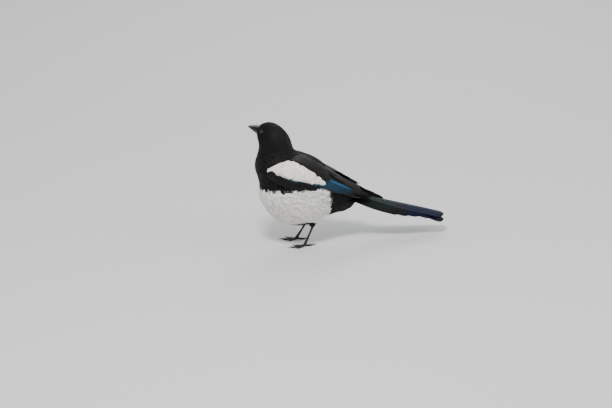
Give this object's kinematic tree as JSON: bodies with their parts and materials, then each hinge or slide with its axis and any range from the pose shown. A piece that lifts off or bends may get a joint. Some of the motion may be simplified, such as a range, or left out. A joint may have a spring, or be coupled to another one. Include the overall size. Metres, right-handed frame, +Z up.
{
  "type": "eurasian magpie model",
  "caption": "Life-size still model of a standing magpie: fluffed white belly, closed wings laid over a long stepped tail, head turned to its right.",
  "frame": {"origin": "on the floor, under the middle of the whole bird's box", "axes": "+X is the way the body faces, +Y is the bird's left side, +Z is up"},
  "size_m": [0.3594, 0.1082, 0.2309],
  "materials": {
    "body_plumage": "soft white and black body feathers",
    "dark_plumage": "black head and neck feathers with a faint gloss",
    "wing_feathers": "glossy blue and black flight feathers",
    "tail_feathers": "glossy green, purple and blue tail feathers",
    "bill": "smooth black horn",
    "eye": "wet dark brown",
    "leg": "black scaly skin and claws"
  },
  "bodies": {
    "root": {"torso": "body_plumage", "neck": "dark_plumage", "head": "dark_plumage", "bill_upper": "bill", "bill_lower": "bill", "eye_left": "eye", "eye_right": "eye", "wing_left": "wing_feathers", "wing_right": "wing_feathers", "tail": "tail_feathers", "thigh_left": "dark_plumage", "thigh_right": "dark_plumage", "tarsus_left": "leg", "tarsus_right": "leg", "foot_left": "leg", "foot_right": "leg"}
  },
  "joints": []
}
